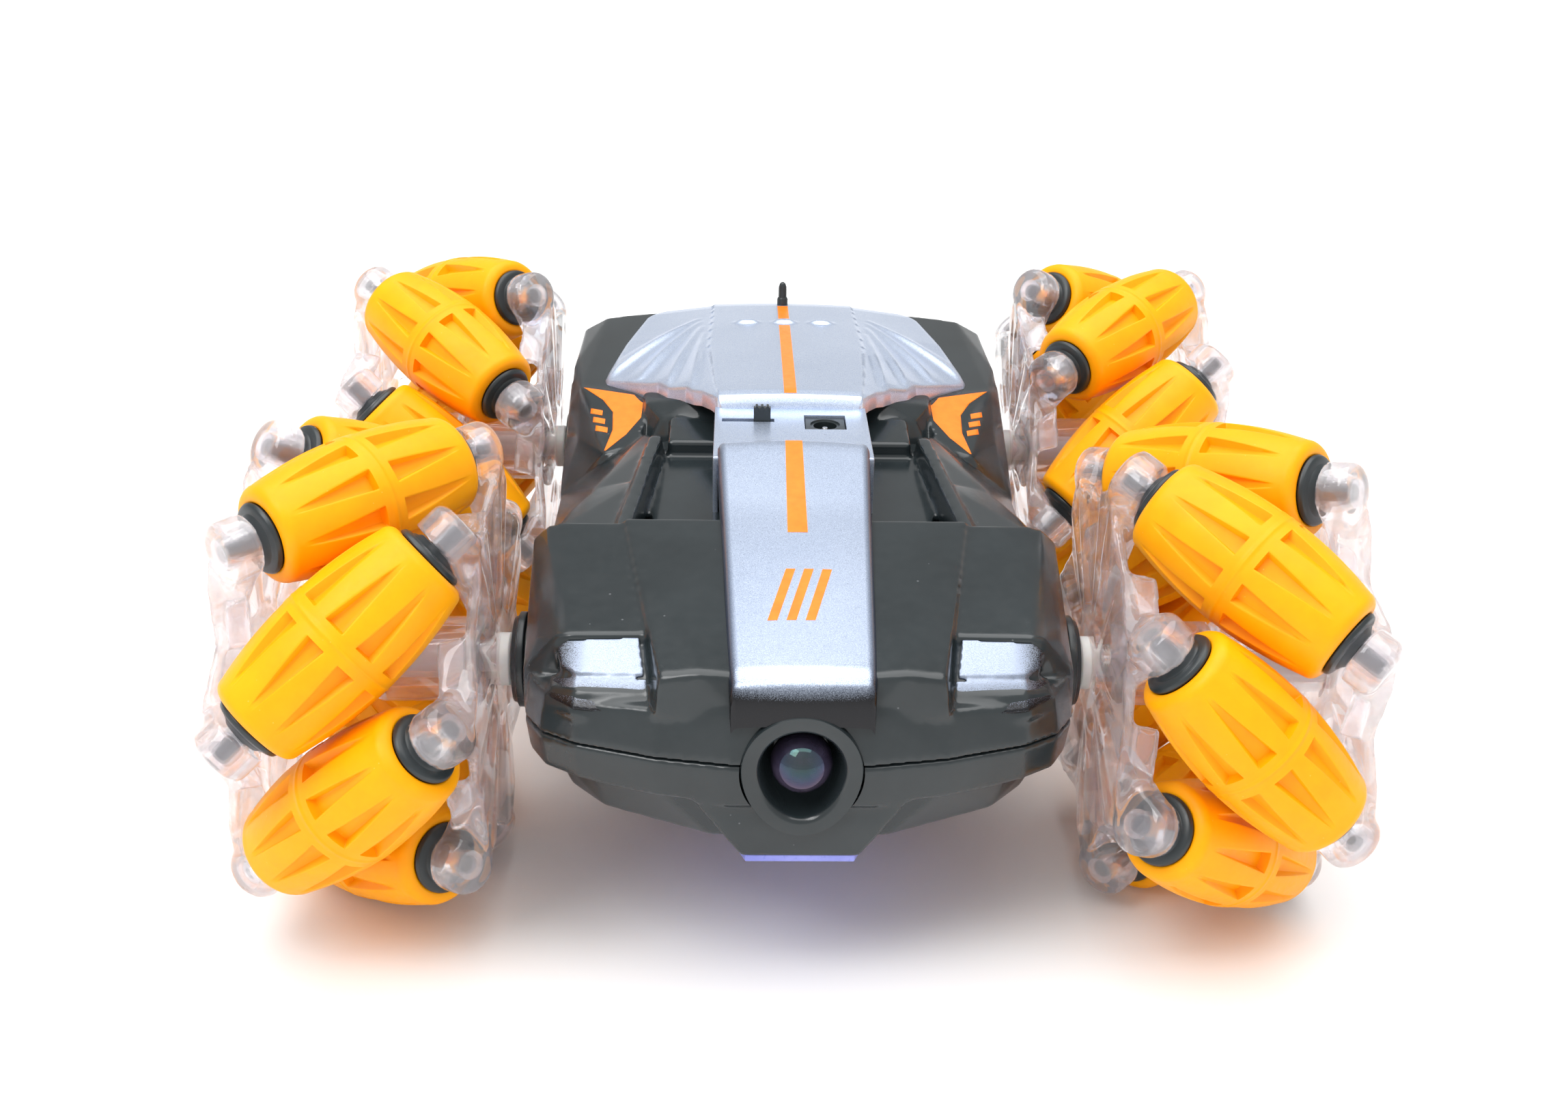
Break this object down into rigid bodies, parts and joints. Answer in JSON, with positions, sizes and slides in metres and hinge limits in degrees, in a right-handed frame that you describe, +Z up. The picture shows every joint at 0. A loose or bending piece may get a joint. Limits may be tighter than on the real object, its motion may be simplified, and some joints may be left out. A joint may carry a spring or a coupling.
{
  "type": "mecanum wheel stunt car",
  "caption": "Toy stunt car with an hourglass body on mecanum wheels: clear hub plates carry free-turning ribbed orange rollers.",
  "frame": {"origin": "on the ground under the middle of the car", "axes": "+Z up, the car faces -Y, +X is the driver's left"},
  "size_m": [0.2278, 0.2302, 0.1022],
  "materials": {
    "gloss_black": "glossy black moulded ABS",
    "satin_black": "satin black moulded plastic",
    "metallic_lilac": "fine metallic silver-lilac paint on ABS",
    "orange_rubber": "matte yellow-orange rubber sleeve on a black core",
    "clear_plastic": "clear polycarbonate with a faint lilac tint",
    "clear_lens": "clear ball lens",
    "nylon_white": "milky white nylon",
    "bright_metal": "plated steel",
    "circuit_board": "green circuit board",
    "battery_wrap": "blue shrink wrap"
  },
  "bodies": {
    "chassis": {"upper_shell": "gloss_black", "lower_shell": "gloss_black", "spine_cover": "metallic_lilac", "lamp_trims": "metallic_lilac", "chin_plate": "metallic_lilac", "lens_bezel": "gloss_black", "headlamp_lens": "clear_lens", "headlamp_led": "circuit_board", "switch_housing": "bright_metal", "charging_socket": "satin_black", "antenna": "satin_black", "main_board": "circuit_board", "battery_pack": "battery_wrap", "battery_door": "satin_black", "shell_screws": "bright_metal", "gearboxes": "nylon_white", "drive_motors": "bright_metal", "axle_bushes": "satin_black", "switch_board": "circuit_board"},
    "front_left_wheel": {"front_left_outer_plate": "clear_plastic", "front_left_inner_plate": "clear_plastic", "front_left_axle": "nylon_white"},
    "front_left_roller_1": {"front_left_roller_1": "orange_rubber"},
    "front_left_roller_2": {"front_left_roller_2": "orange_rubber"},
    "front_left_roller_3": {"front_left_roller_3": "orange_rubber"},
    "front_left_roller_4": {"front_left_roller_4": "orange_rubber"},
    "front_left_roller_5": {"front_left_roller_5": "orange_rubber"},
    "front_left_roller_6": {"front_left_roller_6": "orange_rubber"},
    "front_left_roller_7": {"front_left_roller_7": "orange_rubber"},
    "front_right_wheel": {"front_right_outer_plate": "clear_plastic", "front_right_inner_plate": "clear_plastic", "front_right_axle": "nylon_white"},
    "front_right_roller_1": {"front_right_roller_1": "orange_rubber"},
    "front_right_roller_2": {"front_right_roller_2": "orange_rubber"},
    "front_right_roller_3": {"front_right_roller_3": "orange_rubber"},
    "front_right_roller_4": {"front_right_roller_4": "orange_rubber"},
    "front_right_roller_5": {"front_right_roller_5": "orange_rubber"},
    "front_right_roller_6": {"front_right_roller_6": "orange_rubber"},
    "front_right_roller_7": {"front_right_roller_7": "orange_rubber"},
    "rear_left_wheel": {"rear_left_outer_plate": "clear_plastic", "rear_left_inner_plate": "clear_plastic", "rear_left_axle": "nylon_white"},
    "rear_left_roller_1": {"rear_left_roller_1": "orange_rubber"},
    "rear_left_roller_2": {"rear_left_roller_2": "orange_rubber"},
    "rear_left_roller_3": {"rear_left_roller_3": "orange_rubber"},
    "rear_left_roller_4": {"rear_left_roller_4": "orange_rubber"},
    "rear_left_roller_5": {"rear_left_roller_5": "orange_rubber"},
    "rear_left_roller_6": {"rear_left_roller_6": "orange_rubber"},
    "rear_left_roller_7": {"rear_left_roller_7": "orange_rubber"},
    "rear_right_wheel": {"rear_right_outer_plate": "clear_plastic", "rear_right_inner_plate": "clear_plastic", "rear_right_axle": "nylon_white"},
    "rear_right_roller_1": {"rear_right_roller_1": "orange_rubber"},
    "rear_right_roller_2": {"rear_right_roller_2": "orange_rubber"},
    "rear_right_roller_3": {"rear_right_roller_3": "orange_rubber"},
    "rear_right_roller_4": {"rear_right_roller_4": "orange_rubber"},
    "rear_right_roller_5": {"rear_right_roller_5": "orange_rubber"},
    "rear_right_roller_6": {"rear_right_roller_6": "orange_rubber"},
    "rear_right_roller_7": {"rear_right_roller_7": "orange_rubber"},
    "switch_slider": {"switch_slider": "satin_black"}
  },
  "joints": [
    {"name": "front_left_wheel_spin", "type": "hinge", "parent": "chassis", "child": "front_left_wheel", "pos_m": [0.0875, -0.064, 0.0511], "axis": [1, 0, 0], "continuous": true},
    {"name": "front_left_roller_1_spin", "type": "hinge", "parent": "front_left_wheel", "child": "front_left_roller_1", "pos_m": [0.0875, -0.0529, 0.08786], "axis": [0.7071, -0.6769, 0.2044], "continuous": true},
    {"name": "front_left_roller_2_spin", "type": "hinge", "parent": "front_left_wheel", "child": "front_left_roller_2", "pos_m": [0.0875, -0.08582, 0.0827], "axis": [0.7071, -0.5818, -0.4018], "continuous": true},
    {"name": "front_left_roller_3_spin", "type": "hinge", "parent": "front_left_wheel", "child": "front_left_roller_3", "pos_m": [0.0875, -0.10231, 0.05374], "axis": [0.7071, -0.0486, -0.7054], "continuous": true},
    {"name": "front_left_roller_4_spin", "type": "hinge", "parent": "front_left_wheel", "child": "front_left_roller_4", "pos_m": [0.0875, -0.08995, 0.0228], "axis": [0.7071, 0.5212, -0.4778], "continuous": true},
    {"name": "front_left_roller_5_spin", "type": "hinge", "parent": "front_left_wheel", "child": "front_left_roller_5", "pos_m": [0.0875, -0.05805, 0.01316], "axis": [0.7071, 0.6986, 0.1096], "continuous": true},
    {"name": "front_left_roller_6_spin", "type": "hinge", "parent": "front_left_wheel", "child": "front_left_roller_6", "pos_m": [0.0875, -0.03063, 0.0321], "axis": [0.7071, 0.3499, 0.6145], "continuous": true},
    {"name": "front_left_roller_7_spin", "type": "hinge", "parent": "front_left_wheel", "child": "front_left_roller_7", "pos_m": [0.0875, -0.02834, 0.06534], "axis": [0.7071, -0.2623, 0.6567], "continuous": true},
    {"name": "front_right_wheel_spin", "type": "hinge", "parent": "chassis", "child": "front_right_wheel", "pos_m": [-0.0875, -0.064, 0.0511], "axis": [1, 0, 0], "continuous": true},
    {"name": "front_right_roller_1_spin", "type": "hinge", "parent": "front_right_wheel", "child": "front_right_roller_1", "pos_m": [-0.0875, -0.03713, 0.07854], "axis": [-0.7071, -0.5052, 0.4947], "continuous": true},
    {"name": "front_right_roller_2_spin", "type": "hinge", "parent": "front_right_wheel", "child": "front_right_roller_2", "pos_m": [-0.0875, -0.0687, 0.08921], "axis": [-0.7071, -0.7018, -0.0865], "continuous": true},
    {"name": "front_right_roller_3_spin", "type": "hinge", "parent": "front_right_wheel", "child": "front_right_roller_3", "pos_m": [-0.0875, -0.09673, 0.07119], "axis": [-0.7071, -0.3699, -0.6026], "continuous": true},
    {"name": "front_right_roller_4_spin", "type": "hinge", "parent": "front_right_wheel", "child": "front_right_roller_4", "pos_m": [-0.0875, -0.10011, 0.03804], "axis": [-0.7071, 0.2405, -0.6649], "continuous": true},
    {"name": "front_right_roller_5_spin", "type": "hinge", "parent": "front_right_wheel", "child": "front_right_roller_5", "pos_m": [-0.0875, -0.0763, 0.01472], "axis": [-0.7071, 0.6698, -0.2265], "continuous": true},
    {"name": "front_right_roller_6_spin", "type": "hinge", "parent": "front_right_wheel", "child": "front_right_roller_6", "pos_m": [-0.0875, -0.04323, 0.0188], "axis": [-0.7071, 0.5948, 0.3825], "continuous": true},
    {"name": "front_right_roller_7_spin", "type": "hinge", "parent": "front_right_wheel", "child": "front_right_roller_7", "pos_m": [-0.0875, -0.0258, 0.0472], "axis": [-0.7071, 0.0718, 0.7035], "continuous": true},
    {"name": "rear_left_wheel_spin", "type": "hinge", "parent": "chassis", "child": "rear_left_wheel", "pos_m": [0.0875, 0.064, 0.0511], "axis": [1, 0, 0], "continuous": true},
    {"name": "rear_left_roller_1_spin", "type": "hinge", "parent": "rear_left_wheel", "child": "rear_left_roller_1", "pos_m": [0.0875, 0.08624, 0.0824], "axis": [0.7071, 0.5764, -0.4096], "continuous": true},
    {"name": "rear_left_roller_2_spin", "type": "hinge", "parent": "rear_left_wheel", "child": "rear_left_roller_2", "pos_m": [0.0875, 0.0534, 0.08801], "axis": [0.7071, 0.6796, 0.1952], "continuous": true},
    {"name": "rear_left_roller_3_spin", "type": "hinge", "parent": "rear_left_wheel", "child": "rear_left_roller_3", "pos_m": [0.0875, 0.02853, 0.06582], "axis": [0.7071, 0.2711, 0.6531], "continuous": true},
    {"name": "rear_left_roller_4_spin", "type": "hinge", "parent": "rear_left_wheel", "child": "rear_left_roller_4", "pos_m": [0.0875, 0.03038, 0.03255], "axis": [0.7071, -0.3416, 0.6191], "continuous": true},
    {"name": "rear_left_roller_5_spin", "type": "hinge", "parent": "rear_left_wheel", "child": "rear_left_roller_5", "pos_m": [0.0875, 0.05754, 0.01325], "axis": [0.7071, -0.697, 0.119], "continuous": true},
    {"name": "rear_left_roller_6_spin", "type": "hinge", "parent": "rear_left_wheel", "child": "rear_left_roller_6", "pos_m": [0.0875, 0.08957, 0.02245], "axis": [0.7071, -0.5276, -0.4708], "continuous": true},
    {"name": "rear_left_roller_7_spin", "type": "hinge", "parent": "rear_left_wheel", "child": "rear_left_roller_7", "pos_m": [0.0875, 0.10234, 0.05322], "axis": [0.7071, 0.0391, -0.706], "continuous": true},
    {"name": "rear_right_wheel_spin", "type": "hinge", "parent": "chassis", "child": "rear_right_wheel", "pos_m": [-0.0875, 0.064, 0.0511], "axis": [1, 0, 0], "continuous": true},
    {"name": "rear_right_roller_1_spin", "type": "hinge", "parent": "rear_right_wheel", "child": "rear_right_roller_1", "pos_m": [-0.0875, 0.07894, 0.08647], "axis": [-0.7071, 0.6514, -0.2752], "continuous": true},
    {"name": "rear_right_roller_2_spin", "type": "hinge", "parent": "rear_right_wheel", "child": "rear_right_roller_2", "pos_m": [-0.0875, 0.04566, 0.08484], "axis": [-0.7071, 0.6212, 0.3377], "continuous": true},
    {"name": "rear_right_roller_3_spin", "type": "hinge", "parent": "rear_right_wheel", "child": "rear_right_roller_3", "pos_m": [-0.0875, 0.02619, 0.0578], "axis": [-0.7071, 0.1233, 0.6963], "continuous": true},
    {"name": "rear_right_roller_4_spin", "type": "hinge", "parent": "rear_right_wheel", "child": "rear_right_roller_4", "pos_m": [-0.0875, 0.03519, 0.02571], "axis": [-0.7071, -0.4675, 0.5305], "continuous": true},
    {"name": "rear_right_roller_5_spin", "type": "hinge", "parent": "rear_right_wheel", "child": "rear_right_roller_5", "pos_m": [-0.0875, 0.06589, 0.01275], "axis": [-0.7071, -0.7063, -0.0347], "continuous": true},
    {"name": "rear_right_roller_6_spin", "type": "hinge", "parent": "rear_right_wheel", "child": "rear_right_roller_6", "pos_m": [-0.0875, 0.09516, 0.02866], "axis": [-0.7071, -0.4132, -0.5738], "continuous": true},
    {"name": "rear_right_roller_7_spin", "type": "hinge", "parent": "rear_right_wheel", "child": "rear_right_roller_7", "pos_m": [-0.0875, 0.10097, 0.06147], "axis": [-0.7071, 0.191, -0.6808], "continuous": true},
    {"name": "power_switch", "type": "slide", "parent": "chassis", "child": "switch_slider", "axis": [-1, 0, 0], "range_m": [0, 0.007]}
  ]
}
